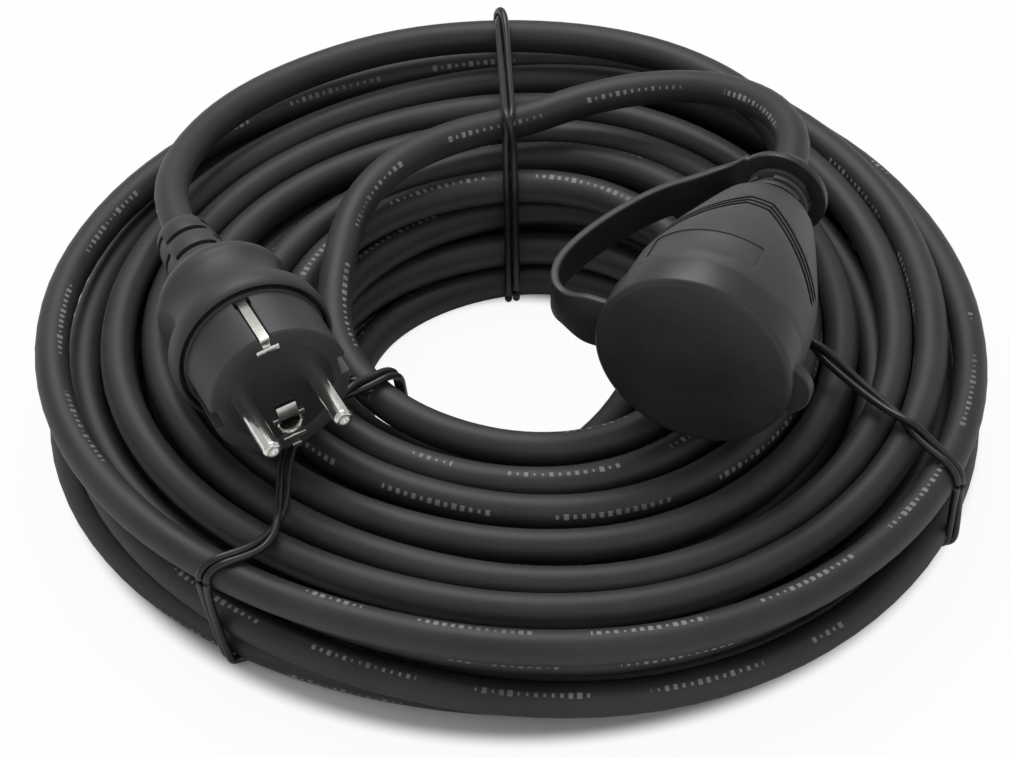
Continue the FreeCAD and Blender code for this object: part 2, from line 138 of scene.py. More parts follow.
def soften(piece, width):
    """Round the sharp edges by a width in millimetres and shade the rest smooth."""
    apply_modifier(piece, "BEVEL", width=width / 1000, segments=2, limit_method="ANGLE",
                   angle_limit=bevel_angle, harden_normals=False)
    pick(piece)
    bpy.ops.object.shade_smooth_by_angle(angle=smooth_angle)


def local_frame(origin, x_axis, z_axis):
    """Matrix from a piece's own axes to its place."""
    z_axis = z_axis.normalized()
    y_axis = z_axis.cross(x_axis).normalized()
    x_axis = y_axis.cross(z_axis)
    matrix = Matrix((x_axis, y_axis, z_axis)).transposed().to_4x4()
    matrix.translation = origin
    return matrix


# Shader maths

class Value:
    """A number that changes over a surface, with the usual operators."""

    def __init__(self, kit, socket):
        self.kit = kit
        self.socket = socket

    def __add__(self, other):
        return self.kit.maths("ADD", self, other)

    def __radd__(self, other):
        return self.kit.maths("ADD", other, self)

    def __sub__(self, other):
        return self.kit.maths("SUBTRACT", self, other)

    def __rsub__(self, other):
        return self.kit.maths("SUBTRACT", other, self)

    def __mul__(self, other):
        return self.kit.maths("MULTIPLY", self, other)

    def __rmul__(self, other):
        return self.kit.maths("MULTIPLY", other, self)

    def __truediv__(self, other):
        return self.kit.maths("DIVIDE", self, other)

    def __mod__(self, other):
        return self.kit.maths("FLOORED_MODULO", self, other)

    def __pow__(self, other):
        return self.kit.maths("POWER", self, other)

    def __lt__(self, other):
        return self.kit.maths("LESS_THAN", self, other)

    def floor(self):
        return self.kit.maths("FLOOR", self)

    def sine(self):
        return self.kit.maths("SINE", self)

    def size(self):
        return self.kit.maths("ABSOLUTE", self)

    def smooth(self, low, high, at_low=0.0, at_high=1.0):
        """A soft step: at_low below one value, at_high above the other."""
        limits = {"From Min": low, "From Max": high, "To Min": at_low, "To Max": at_high}
        settings = {"interpolation_type": "SMOOTHSTEP", "clamp": True}
        node = self.kit.node("ShaderNodeMapRange", settings, Value=self, **limits)
        return Value(self.kit, node.outputs["Result"])


# Numbers of the mix node's colour sockets
colour_inputs = (6, 7)
colour_output = 2


class Finish:
    """One material: node() makes its nodes, and use() feeds its shader."""

    def __init__(self, name, colour, roughness, **fixed):
        self.material = bpy.data.materials.new(name)
        self.material.use_nodes = True
        self.tree = self.material.node_tree
        self.shader = self.tree.nodes["Principled BSDF"]
        self.shader.inputs["Base Color"].default_value = (*colour, 1)
        self.shader.inputs["Roughness"].default_value = roughness
        self.material.diffuse_color = (*colour, 1)
        for socket, value in fixed.items():
            self.shader.inputs[socket.title()].default_value = value

    def node(self, kind, settings=None, **sockets):
        """A new node. A socket is given by its name, or by an underscore and its number."""
        made = self.tree.nodes.new(kind)
        for name, value in (settings or {}).items():
            setattr(made, name, value)
        for name, value in sockets.items():
            target = made.inputs[int(name[1:])] if name[0] == "_" else made.inputs[name]
            self.feed(target, value)
        return made

    def feed(self, target, value):
        if isinstance(value, Value):
            value = value.socket
        if isinstance(value, bpy.types.NodeSocket):
            self.tree.links.new(value, target)
        else:
            target.default_value = value

    def maths(self, operation, first, second=0.0):
        made = self.node("ShaderNodeMath", {"operation": operation}, _0=first, _1=second)
        return Value(self, made.outputs["Value"])

    def coordinate(self):
        return self.node("ShaderNodeTexCoord").outputs["Object"]

    def axes(self, vector):
        made = self.node("ShaderNodeSeparateXYZ", Vector=vector)
        return [Value(self, made.outputs[axis]) for axis in "XYZ"]

    def noise(self, vector, scale, detail, roughness=0.5):
        made = self.node("ShaderNodeTexNoise", Vector=vector, Scale=scale, Detail=detail,
                         Roughness=roughness, Distortion=0.0)
        return Value(self, made.outputs["Fac"])

    def specks(self, vector, scale):
        made = self.node("ShaderNodeTexVoronoi", Vector=vector, Scale=scale, Randomness=1.0)
        return Value(self, made.outputs["Distance"])

    def blend(self, share, first, second):
        """The colour that lies at a share between two colours."""
        made = self.node("ShaderNodeMix", {"data_type": "RGBA"}, Factor=share)
        for index, shade in zip(colour_inputs, (first, second)):
            self.feed(made.inputs[index], (*shade, 1) if isinstance(shade, tuple) else shade)
        return made.outputs[colour_output]

    def bump(self, height, distance, strength):
        made = self.node("ShaderNodeBump", Height=height, Distance=distance, Strength=strength)
        return made.outputs["Normal"]

    def use(self, **sockets):
        for name, value in sockets.items():
            self.feed(self.shader.inputs[name.replace("_", " ").title()], value)
        return self.material


def wear(piece, finish):
    piece.data.materials.clear()
    piece.data.materials.append(finish)


# The cord: one smooth line from inside the socket round the coil and into the plug

cord_radius = 0.0045
plug_face = mm(-58.3, -60.7, 61.0)
plug_axis = Vector((0.399, -0.913, 0.082)).normalized()
plug_pin_line = Vector((0.897, 0.407, 0.173))
socket_face = mm(42.8, -55.3, 65.7)
socket_heading = math.radians(249.2)
socket_axis = Vector((math.cos(socket_heading), math.sin(socket_heading), 0))

# The winding, in turns and millimetres
layer_ends = [0, 5.5, 11.5, 17.5, 24]
layer_step = 9.8
half_change = 0.25
end_lift = 4.9
lowest_line = 4.6
outer_loop = 121.0
inner_loop = 47.0
first_loop = 44.0
points_per_turn = 20
outward_share = 1.008
# How far the loops are drawn in at each quarter, and the slope there
quarters = [(0.99, -0.04), (0.975, -0.14), (1.022, 0.06), (1.01, 0.12)]
# How the loops stray: size in millimetres, angle that the wave runs through in a turn, and start
strays = [(2.0, 3.9, 0.7), (1.5, 8.7, 2.0), (0.8, 14.4, 0.0)]
# Turns at each end over which the loops stray less and less
calm_ends = 1.5


def drawn_in(angle):
    """How far the loops are drawn in at an angle, smooth between the four quarters."""
    quarter = (angle / 90) % 4
    index = int(quarter)
    share = quarter - index
    (start, start_slope), (end, end_slope) = quarters[index], quarters[(index + 1) % 4]
    run = math.pi / 2
    return (
        (1 + 2 * share) * (1 - share) ** 2 * start + share * (1 - share) ** 2 * run * start_slope
        + share ** 2 * (3 - 2 * share) * end + share ** 2 * (share - 1) * run * end_slope
    )


def layer_at(turn):
    """The layer that a turn lies in, where it starts inside, and how far apart its loops lie."""
    layer = max(count for count in range(4) if layer_ends[count] <= turn)
    low = first_loop if layer == 0 else inner_loop
    return layer, low, (outer_loop - low) / (layer_ends[layer + 1] - layer_ends[layer])


def loop_radius(turn):
    layer, low, pitch = layer_at(turn)
    along = turn - layer_ends[layer]
    radius = low + pitch * along if layer % 2 == 0 else outer_loop - pitch * along
    for count, end in enumerate(layer_ends[1:-1]):
        past = turn - end
        if abs(past) < half_change:
            side, extreme = (1, inner_loop) if count % 2 else (-1, outer_loop)
            radius = extreme + side * pitch * (half_change / 2 + past ** 2 / (2 * half_change))
    return radius


def loop_height(turn):
    layer = layer_at(turn)[0]
    for count, end in enumerate(layer_ends[1:-1]):
        past = turn - end
        if abs(past) <= half_change:
            share = past / (2 * half_change) + 0.5
            layer = count + share ** 2 * (3 - 2 * share)
    last = max(0, (turn - layer_ends[-1] + half_change) / half_change)
    return lowest_line + layer * layer_step + end_lift * last ** 2


def hand_laid(turn):
    """How far a loop strays from an even winding, in millimetres."""
    calm = min(1, turn / calm_ends, (layer_ends[-1] - turn) / calm_ends)
    return calm * sum(size * math.sin(rate * turn + start) for size, rate, start in strays)


def coil_points():
    """The loops, clockwise from above, from the lowest inner one to the highest."""
    points = []
    for step in range(layer_ends[-1] * points_per_turn + 1):
        turn = step / points_per_turn
        angle = math.radians(180 - 360 * turn)
        drawn = loop_radius(turn) * drawn_in(180 - 360 * turn)
        radius = drawn * outward_share + hand_laid(turn)
        points.append(mm(math.cos(angle) * radius, math.sin(angle) * radius, loop_height(turn)))
    return points


plug_lead = [
    plug_face - plug_axis * 0.056, plug_face - plug_axis * 0.084,
    mm(-90.5, 44, 48.6), mm(-79.5, 68, 45.3), mm(-61.5, 86, 43.6), mm(-36, 99.5, 43.4),
    mm(-8, 104.5, 43.4), mm(20, 102.5, 43.4), mm(43, 94, 43.4), mm(61, 79, 43.8), mm(71.1, 60, 44.9),
    mm(72.9, 41, 45.3), mm(67.1, 22.9, 45.3), mm(57, 8, 46.1), mm(47, -4.9, 43.6), mm(36, -18.1, 36.2),
    mm(25.9, -31.7, 25.1), mm(10.7, -39.9, 15.2), mm(-4.7, -41.6, 9), mm(-18.8, -38.7, 6),
    mm(-30.4, -32, 4.8), mm(-38.9, -21.6, 4.6),
]
socket_lead = [
    mm(-45.7, 23.9, 41.4), mm(-40.4, 36.8, 44.2), mm(-30.8, 48.5, 45.2), mm(-16.5, 59.1, 44.5),
    mm(1.1, 65.8, 43.8), mm(18.2, 72.6, 46.2), mm(37.3, 73.2, 50.3), mm(55.9, 65.1, 56),
    mm(69.8, 47.7, 62),
    socket_face - socket_axis * 0.0861, socket_face - socket_axis * 0.063,
]


# How the loops settle, in millimetres, steps and points along the line
settle_steps = 160
sink_steps = 50
sink = 0.06
strand_gap = 9.2
push_share = 0.35
farthest_move = 9
samples_per_span = 3
neighbours = 24
stiffness_share = 0.15
held_first, freed_first = 4, 6
held_last, freed_last = 6, 8
tiny = 1e-6


def settled(route):
    """Let the loops sink and push each other apart, as cord that was laid down by hand does."""
    controls = np.array([point[:] for point in route]) * 1000
    first = controls.copy()
    count = len(controls)
    # Rows that turn the control points into points on the curve
    spread = np.zeros(((count - 2) * samples_per_span, count))
    for span in range(count - 2):
        for step in range(samples_per_span):
            t = (step + 0.5) / samples_per_span
            weights = ((1 - t) ** 2 / 2, (1 + 2 * t - 2 * t * t) / 2, t * t / 2)
            spread[span * samples_per_span + step, span:span + 3] = weights
    gather = (spread / spread.sum(axis=0).clip(tiny)).T
    index = np.arange(len(spread))
    far_apart = np.abs(index[:, None] - index[None, :]) > neighbours
    # Both ends are held, and the points beside them are let go gradually
    place = np.arange(count)
    from_ends = np.minimum((place - held_first) / freed_first, (count - held_last - place) / freed_last)
    free = np.clip(from_ends, 0, 1)[:, None]
    for step in range(settle_steps):
        line = spread @ controls
        squares = (line ** 2).sum(axis=1)
        apart = np.sqrt(np.maximum(squares[:, None] + squares[None, :] - 2 * line @ line.T, tiny))
        near, other = np.nonzero((apart < strand_gap) & far_apart)
        overlap = (strand_gap - apart[near, other]) / apart[near, other] * push_share
        push = np.zeros_like(line)
        np.add.at(push, near, (line[near] - line[other]) * overlap[:, None])
        push[:, 2] += np.maximum(0, lowest_line - line[:, 2] - push[:, 2])
        moved = gather @ push
        if step < sink_steps:
            moved[:, 2] -= sink
        shift = controls + moved * free - first
        smooth = shift.copy()
        smooth[1:-1] = shift[1:-1] * 0.7 + (shift[:-2] + shift[2:]) * stiffness_share
        length = np.linalg.norm(smooth, axis=1)[:, None]
        controls = first + smooth * np.minimum(1, farthest_move / length.clip(tiny)) * free
    return [Vector(point) / 1000 for point in controls]


def open_curve(name, points, radius=0.0, sides=4, per_span=5):
    """One smooth open line through space, with a round section if it has a radius."""
    line = bpy.data.curves.new(name, "CURVE")
    line.dimensions = "3D"
    line.twist_mode = "Z_UP"
    line.resolution_u = per_span
    line.bevel_depth = radius
    line.bevel_resolution = sides
    line.use_fill_caps = radius > 0
    spline = line.splines.new("NURBS")
    spline.points.add(len(points) - 1)
    for control, point in zip(spline.points, points):
        control.co = (*point, 1)
    spline.order_u = 3
    spline.use_endpoint_u = True
    made = bpy.data.objects.new(name, line)
    bpy.context.scene.collection.objects.link(made)
    return made


def line_points(curve):
    """Points along a curve that has no section."""
    bpy.context.view_layer.update()
    mesh = bpy.data.meshes.new_from_object(curve)
    points = [vertex.co.copy() for vertex in mesh.vertices]
    bpy.data.meshes.remove(mesh)
    return points


cord_route = settled(list(reversed(plug_lead + coil_points() + socket_lead)))
bare_line = open_curve("cord_line", cord_route)
cord_centres = line_points(bare_line)
bpy.data.objects.remove(bare_line)
cord = open_curve("cord", cord_route, cord_radius, 6)
pick(cord)
bpy.ops.object.convert(target="MESH")
cord = bpy.context.object
cord.data.name = "cord"
bpy.ops.object.shade_smooth()

# Each point of the cord's skin knows how far along the cord it is and which way it faces round it
ring = len(cord.data.vertices) // len(cord_centres)
lie = cord.data.attributes.new("lie", "FLOAT_VECTOR", "POINT")
along = 0.0
values = []
for index, centre in enumerate(cord_centres):
    if index:
        along += (centre - cord_centres[index - 1]).length
    for step in range(ring):
        turn = 2 * math.pi * step / ring
        values += [along, math.cos(turn), math.sin(turn)]
values += [along, 1.0, 0.0] * (len(cord.data.vertices) - ring * len(cord_centres))
lie.data.foreach_set("vector", values)

# Ties: two thin coated wires pulled tight round the loops

tie_wire = 0.0010
# A strand is inside a tie when its line crosses the tie's sheet within these limits
caught_beside = 0.0055
caught_before, caught_after = 0.012, 0.006
caught_below = 0.06
marks_round_strand = 16
loop_step = 0.004
crossing_sharpness = 90
tail_steps = 24
tail_twist = 0.75


def tight_loop(inner, outer, bow):
    """The tight outline round the strands that a tie crosses, on an upright sheet that bows sideways."""
    run = (outer - inner).normalized()
    across = Vector((-run.y, run.x, 0))
    reach = (outer - inner).length

    def aside(share):
        return bow * math.sin(2 * math.pi * min(1, max(0, share / reach)) ** 1.5)

    marks = []
    for centre in cord_centres:
        place = centre - inner
        along = place.dot(run)
        beside = abs(place.dot(across) - aside(along)) < caught_beside
        if beside and -caught_before < along < reach + caught_after and centre.z < caught_below:
            for step in range(marks_round_strand):
                turn = step * math.pi / 8
                size = cord_radius + tie_wire * 1.1
                marks.append((along + size * math.cos(turn), centre.z + size * math.sin(turn)))
    # The convex outline of the marks, first its lower side and then its upper side
    marks = sorted(set(marks))
    hull = []
    for direction in (marks, list(reversed(marks))):
        part = []
        for mark in direction:
            while len(part) > 1 and (
                (part[-1][0] - part[-2][0]) * (mark[1] - part[-2][1])
                - (part[-1][1] - part[-2][1]) * (mark[0] - part[-2][0])
            ) <= 0:
                part.pop()
            part.append(mark)
        hull += part[:-1]
    loop = []
    for (start, low), (end, high) in zip(hull, hull[1:] + hull[:1]):
        pieces = max(1, round(math.hypot(end - start, high - low) / loop_step))
        for step in range(pieces):
            share = start + (end - start) * step / pieces
            height = max(low + (high - low) * step / pieces, tie_wire * 2.3)
            loop.append(inner + run * share + across * aside(share) + Vector((0, 0, height)))
    return loop, across


def wire_pair(name, loop, across, crossings, tail):
    """Two wires side by side along a closed loop, that cross where the crossings say."""
    middle = sum(loop, Vector()) / len(loop)
    upward = Vector((0, 0, 1))
    strands = []
    count = len(loop)
    for side in (-1, 1):
        points = []
        for index, point in enumerate(loop):
            share = index / count
            turn = sum(math.pi / (1 + math.exp(-(share - crossing) * crossing_sharpness))
                       for crossing in crossings)
            turn += 0.35 * math.sin(share * 19)
            heading = (loop[(index + 1) % count] - loop[index - 1]).normalized()
            outward = across.cross(heading).normalized()
            if outward.dot(point - middle) < 0:
                outward = -outward
            lift = abs(math.sin(turn)) * tie_wire
            points.append(point + across * math.cos(turn) * side * tie_wire * 1.08
                          + outward * (math.sin(turn) * side * tie_wire * 1.05 + lift))
        strands.append(points)
    pieces = []
    for points in strands:
        wire = open_curve(name, points, tie_wire, 4, 3)
        wire.data.splines[0].use_cyclic_u = len(crossings) % 2 == 0
        pieces.append(wire)
    if tail:
        start, end = tail
        heading = (end - start).normalized()
        side_way = heading.cross(upward).normalized()
        for side in (-1, 1):
            points = []
            for step in range(tail_steps + 1):
                turn = step * tail_twist
                offset = side_way * math.cos(turn) + upward * math.sin(turn)
                points.append(start.lerp(end, step / tail_steps) + side * tie_wire * offset)
            pieces.append(open_curve(name, points, tie_wire, 4, 3))
    deselect()
    for piece in pieces:
        piece.select_set(True)
    bpy.context.view_layer.objects.active = pieces[0]
    bpy.ops.object.convert(target="MESH")
    bpy.ops.object.join()
    made = bpy.context.object
    made.name = name
    bpy.ops.object.shade_smooth()
    return made


# Inner end, outer end, sideways bow, where the wires cross, and the twisted end
left_tail = (mm(-36.5, -35, 36), mm(-48, -25.5, 37))
tie_places = {
    "tie_far": (mm(-1.5, 39.8, 0), mm(-5.5, 123, 0), 0, (0.58, 0.80), None),
    "tie_left": (mm(-27, -24.4, 0), mm(-76.5, -96, 0), -0.008, (0.62, 0.80), left_tail),
    "tie_right": (mm(39.6, 10.1, 0), mm(112.5, -61, 0), 0, (0.60, 0.72), None),
}
ties = {}
for name, (inner, outer, bow, crossings, tail) in tie_places.items():
    outline, across = tight_loop(inner, outer, bow)
    ties[name] = wire_pair(name + "_wires", outline, across, crossings, tail)
    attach(ties[name], "cord")
    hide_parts(name)

# The plug's moulding

plug_frame = local_frame(plug_face, plug_pin_line, plug_axis)

plug_shell = lathe("plug_shell", [
    (14.02, -16), (14.02, 0), (17.9, 0), (18.4, -0.5), (18.4, -17.3), (18.85, -17.5), (18.85, -20.4),
    (19.5, -20.4), (19.7, -17.9), (20.3, -17.5), (21.0, -18.4), (21.3, -20.4), (21.0, -23.4),
    (19.7, -24.6), (18.3, -26.8), (17.2, -30), (16.7, -33.5), (16.9, -36.6), (17.5, -38.4),
    (17.9, -39.4), (17.7, -41.2), (16.6, -43.4), (14.2, -45.4), (10.9, -46.8), (9.5, -48.2), (9.1, -51),
    (8.3, -60), (7.4, -69), (6.9, -71.4), (6.3, -72), (4.52, -72), (4.52, -56),
])
# Hollows for the fingers at both sides, then the guide grooves and the seats of the two strips
for turn in (0, 180):
    scoop = lathe("scoop", [(10, -14), (13.4, -11.5), (14, -9), (14, 9), (13.4, 11.5), (10, 14)], 48)
    scoop.data.transform(Matrix.Rotation(math.radians(90), 4, "X"))
    scoop.data.transform(Matrix.Diagonal((0.52, 1, 0.62, 1)))
    scoop.data.transform(Matrix.Translation(mm(21.8, 0, -33.0)))
    scoop.data.transform(Matrix.Rotation(math.radians(turn), 4, "Z"))
    combine(plug_shell, scoop)
for turn in (0, 180):
    combine(plug_shell, block("guide", (15.9, -2.7, -17.5), (19.4, 2.7, 1), 0, turn))
for turn in (0, 180):
    combine(plug_shell, block("channel", (-1.75, 17.2, -15.5), (1.75, 19.2, 1), 0, turn))
    combine(plug_shell, block("slot", (-2.2, 15.4, -16.8), (2.2, 19.2, -13.9), 0.3, turn))
# Slots in the strain relief, each row a quarter turn from the one before
relief_rows = 5
for row in range(relief_rows):
    centre = -51.5 - 16.5 * row / (relief_rows - 1)
    for turn in (0, 180):
        slot_turn = turn + 90 + 90 * (row % 2)
        combine(plug_shell, block("slot", (-5.6, 5.2, centre - 0.95), (5.6, 16, centre + 0.95), 0.45,
                                  slot_turn))
soften(plug_shell, 0.28)
settle(plug_shell, plug_frame)
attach(plug_shell, "cord")
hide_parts("plug_body")

# Folded earthing strips and the eye round the earth hole

bar_inside = 18.4 - 4.6


def folded_strip(name, turn):
    """A strip along the rim that is folded over the edge of the face and ends in a cross bar."""
    strip = block(name, (-1.3, 17.55, -16.6), (1.3, 18.25, 0.2), 0.16)
    for low, high in (
        ((-1.3, 17.0, -0.6), (1.3, 18.25, 0.55)),
        ((-1.05, bar_inside, -0.5), (1.05, 17.6, 0.35)),
        ((-3.05, bar_inside, -0.6), (3.05, bar_inside + 1.5, 0.95)),
    ):
        combine(strip, block("fold", low, high, 0.18), "UNION")
    strip.data.transform(Matrix.Rotation(math.radians(turn), 4, "Z"))
    soften(strip, 0.08)
    settle(strip, plug_frame)
    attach(strip, "cord")
    return strip


clip_upper = folded_strip("earth_strip_upper", 0)
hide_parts("plug_earth_clip_upper")
clip_lower = folded_strip("earth_strip_lower", 180)
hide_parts("plug_earth_clip_lower")

earth_eye = lathe("earth_eye", [
    (2.5, -15.9), (2.5, -0.6), (2.7, 0.15), (3.0, 0.45), (3.4, 0.3), (3.4, 0.02), (3.05, 0.02),
    (3.05, -17.3), (1.2, -17.3), (1.2, -16.0), (2.5, -16.0), (2.5, -15.9),
], 48, True)
earth_eye.data.transform(Matrix.Translation(mm(0, -10, 0)))
tongue = block("tongue", (-2.7, -7.9, 0.02), (2.7, -3.9, 0.5), 0.15)
tongue.data.transform(Matrix.Translation(mm(0, 0, 0.1)) @ Matrix.Rotation(math.radians(-5), 4, "X"))
combine(earth_eye, tongue, "UNION")
for side in (-1, 1):
    lug = block("lug", (side * 3.4 - 0.9, -9.0, 0.02), (side * 3.4 + 0.9, -7.4, 0.6), 0.12)
    combine(earth_eye, lug, "UNION")
soften(earth_eye, 0.08)
settle(earth_eye, plug_frame)
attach(earth_eye, "cord")
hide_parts("plug_earth_sleeve")

# The socket's moulding

socket_across = Vector((-socket_axis.y, socket_axis.x, 0))
socket_frame = local_frame(socket_face, socket_across, socket_axis)
relief_front = -58.6
rib_pitch = 2.5

outside = [
    (22.9, -2.9), (22.9, -9.4), (24.0, -9.9), (24.5, -10.6), (24.6, -14), (24.5, -18), (24.1, -23),
    (23.2, -28), (21.9, -33), (20.2, -38), (18.4, -43), (16.6, -48), (14.9, -52.5), (13.4, -56),
    (12.2, -57.8), (10.2, -58.4),
]
rib_count = 4
ribs = []
for rib in range(rib_count):
    front = relief_front - rib * rib_pitch
    ribs += [(6.9, front), (6.9, front - 1.0), (8.7, front - 1.2), (8.7, front - 2.4)]
socket_shell = lathe("socket_shell", [
    (4.52, -78.4), (4.52, -61.5), (6.8, -58), (12.6, -51.5), (16, -41), (16, -27.6), (19.7, -27.6),
    (19.7, -26.4), (21.85, -26.4), (21.85, -2.9), *outside, *ribs, (8.25, -68.6), (8.25, -70.9),
    (7.5, -71.4), (7.3, -75), (6.7, -77.6), (5.9, -78.4), (4.52, -78.4),
], 128, True)


def skin_cutter(cutter, depth):
    """Leave only the part of a cutter that lies less than a depth under the moulding's skin."""
    core = lathe("core", [(20, -2)] + [(radius - depth, height) for radius, height in outside[1:]], 128)
    combine(cutter, core)
    return cutter


def chevron(apex):
    """A thin upright plate bent to an arrow that points to the cord."""
    plate = block("chevron", (-3.0, 2, apex - 0.55), (3.0, 32, apex + 0.55), 0)
    for side in (-1, 1):
        arm = block("arm", (-0.4, 2, -0.55), (26, 32, 0.55), 0)
        arm.data.transform(Matrix.Rotation(math.radians(-43.5), 4, "Y"))
        if side < 0:
            mirrored = Matrix.Rotation(math.radians(180), 4, "Z") @ Matrix.Scale(-1, 4, (0, 1, 0))
            arm.data.transform(mirrored)
            arm.data.flip_normals()
        arm.data.transform(Matrix.Translation(mm(side * 3.0, 0, apex)))
        combine(plate, arm, "UNION")
    plate.data.transform(Matrix.Rotation(math.radians(-8), 4, "Z"))
    return plate


# Three arrow grooves, a bare label panel, and the slits between the ribs
for row in range(3):
    combine(socket_shell, skin_cutter(chevron(-45.4 + 2.1 * row), 0.95))
panel = block("panel", (-17.5, 4, -22.8), (10.5, 32, -14.2), 0.9)
combine(socket_shell, skin_cutter(panel, 0.35))
for rib in range(rib_count):
    for turn in (20, 200):
        slit = block("slit", (-2.4, 6.9, -61.1 - rib * rib_pitch), (2.4, 12, -59.7 - rib * rib_pitch), 0,
                     turn + 90 * (rib % 2))
        combine(socket_shell, slit)
soften(socket_shell, 0.2)
settle(socket_shell, socket_frame)
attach(socket_shell, "cord")
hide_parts("socket_body")

# The cap, its pull tab, and the strap with its eye

cap_cover = lathe("cap_cover", [
    (23.2, -2.6), (23.2, -9.7), (25.3, -9.7), (25.75, -9.2), (25.8, -1.4), (25.55, -0.65), (25.0, -0.18),
    (24.0, -0.02), (12, 0.12),
], 128)
tab = lathe("tab", [(7.6, -5.3), (7.9, -4.9), (7.9, -2.5), (7.5, -2.2)], 64)
tab.data.transform(Matrix.Translation(mm(22.4, 0, 0)))
tab.data.transform(Matrix.Rotation(math.radians(-8), 4, "Z"))
hollow = lathe("hollow", [(23.2, -12), (23.2, -2.6)], 128)
combine(tab, hollow)
combine(cap_cover, tab, "UNION")
soften(cap_cover, 0.3)
settle(cap_cover, socket_frame)
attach(cap_cover, "cap")
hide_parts("socket_cap")

strap_line = [
    (-7, -69.6), (-11.5, -69.6), (-15.5, -68.2), (-20.5, -62.2), (-27.5, -55.5), (-34.5, -44),
    (-40, -31.5), (-42.8, -19.5), (-40.4, -10.6), (-34, -7.0), (-28.5, -6.2), (-24.2, -6.0),
]
strap_half_width = 0.00525
strap_thickness = 0.0021
band = open_curve("tether", [mm(x, z, 0) for x, z in strap_line], 0, 4, 8)
band.data.extrude = strap_half_width
band.data.use_fill_caps = False
pick(band)
bpy.ops.object.convert(target="MESH")
tether = bpy.context.object
bpy.ops.object.mode_set(mode="EDIT")
bpy.ops.mesh.select_all(action="SELECT")
bpy.ops.mesh.remove_doubles(threshold=weld_distance)
bpy.ops.object.mode_set(mode="OBJECT")
apply_modifier(tether, "SOLIDIFY", thickness=strap_thickness, offset=0)
tether.data.transform(Matrix(((1, 0, 0, 0), (0, 0, 1, 0), (0, 1, 0, 0), (0, 0, 0, 1))))


def clamped(value):
    return max(0, min(1, value))


# The strap widens where it meets the cap's skirt and where it runs into the eye
for vertex in tether.data.vertices:
    place = vertex.co * 1000
    root = clamped((place.z + 16) / 9) * clamped((38 + place.x) / 9) if place.z > -16 else 0
    tail = clamped((place.x + 19) / 9) if place.z < -60 else 0
    vertex.co.y *= 1 + 0.45 * root * root * (3 - 2 * root) + 0.75 * tail * tail * tail
apply_modifier(tether, "BEVEL", width=0.0005, segments=3, limit_method="ANGLE", angle_limit=smooth_angle)
settle(tether)
eye_outline = [(8.2, -70.7), (8.2, -68.6), (12.6, -68.6), (12.6, -70.7), (8.2, -70.7)]
eye = lathe("eye", eye_outline, closed=True)
apply_modifier(eye, "BEVEL", width=0.0004, segments=3, limit_method="ANGLE", angle_limit=smooth_angle)
relief_space = lathe("relief_space", [(8.25, -75), (8.25, -60)])
combine(tether, relief_space)
combine(tether, eye, "UNION")
mouth_space = lathe("mouth_space", [(25.6, -30), (25.6, 2)])
combine(tether, mouth_space)
pick(tether)
bpy.ops.object.shade_smooth_by_angle(angle=smooth_angle)
settle(tether, socket_frame)
tether.name = "tether"
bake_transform(tether)
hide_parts("cap_tether", "tether_ring")

# Finishes

sheath = Finish("cord_rubber", (0.03, 0.031, 0.034), 0.5)
lie_node = sheath.node("ShaderNodeAttribute", {"attribute_name": "lie"}).outputs["Vector"]
distance, facing, sideways = sheath.axes(lie_node)
sheath_place = sheath.coordinate()
cloud = sheath.noise(sheath_place, 45, 4)
fine = sheath.noise(sheath_place, 2600, 2)
# Pale length ticks in groups, on a line that wanders slowly round the cord
quarter_turn = 1.5708
tick_pitch = 0.0021
group_pitch = 0.043
gap_pitch = 0.31
scramble = (12.9898, 43758.5453)
wander_rate = 2.1
mark_strength = 0.5
wander = distance * wander_rate
toward = facing * (wander + quarter_turn).sine() + sideways * wander.sine()
around = facing * wander.sine() - sideways * (wander + quarter_turn).sine()
line_mask = toward.smooth(0.0, 0.1) * (0.24 - around.size()).smooth(0.0, 0.03)
tick = ((distance / tick_pitch) % 1.0 - 0.5).size()
cell = (distance / tick_pitch).floor()
tall = ((cell * scramble[0]).sine() * scramble[1]) % 1.0
tick_width = (0.16 + 0.2 * tall - tick).smooth(0.0, 0.1)
tick_height = (0.09 + 0.1 * tall - around.size()).smooth(0.0, 0.02)
ticks = tick_width * tick_height
group = (distance / group_pitch) % 1.0
grouped = (0.68 - group).smooth(0.0, 0.01) * ((distance / gap_pitch) % 1.0 < 0.8)
worn = cloud.smooth(0.3, 0.55, 0.45, 1.0)
mark = line_mask * ticks * grouped * worn
dark_rubber, light_rubber = (0.018, 0.0184, 0.0203), (0.027, 0.0277, 0.0308)
rubber_shade = sheath.blend(cloud.smooth(0.35, 0.7), dark_rubber, light_rubber)
wear(cord, sheath.use(
    base_color=sheath.blend(mark * mark_strength, rubber_shade, (0.42, 0.42, 0.43)),
    roughness=0.46 + 0.16 * cloud,
    normal=sheath.bump(fine, 0.00002, 0.5),
))
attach(cord, "cord")
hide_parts("cord_coil", "plug_lead", "socket_lead")


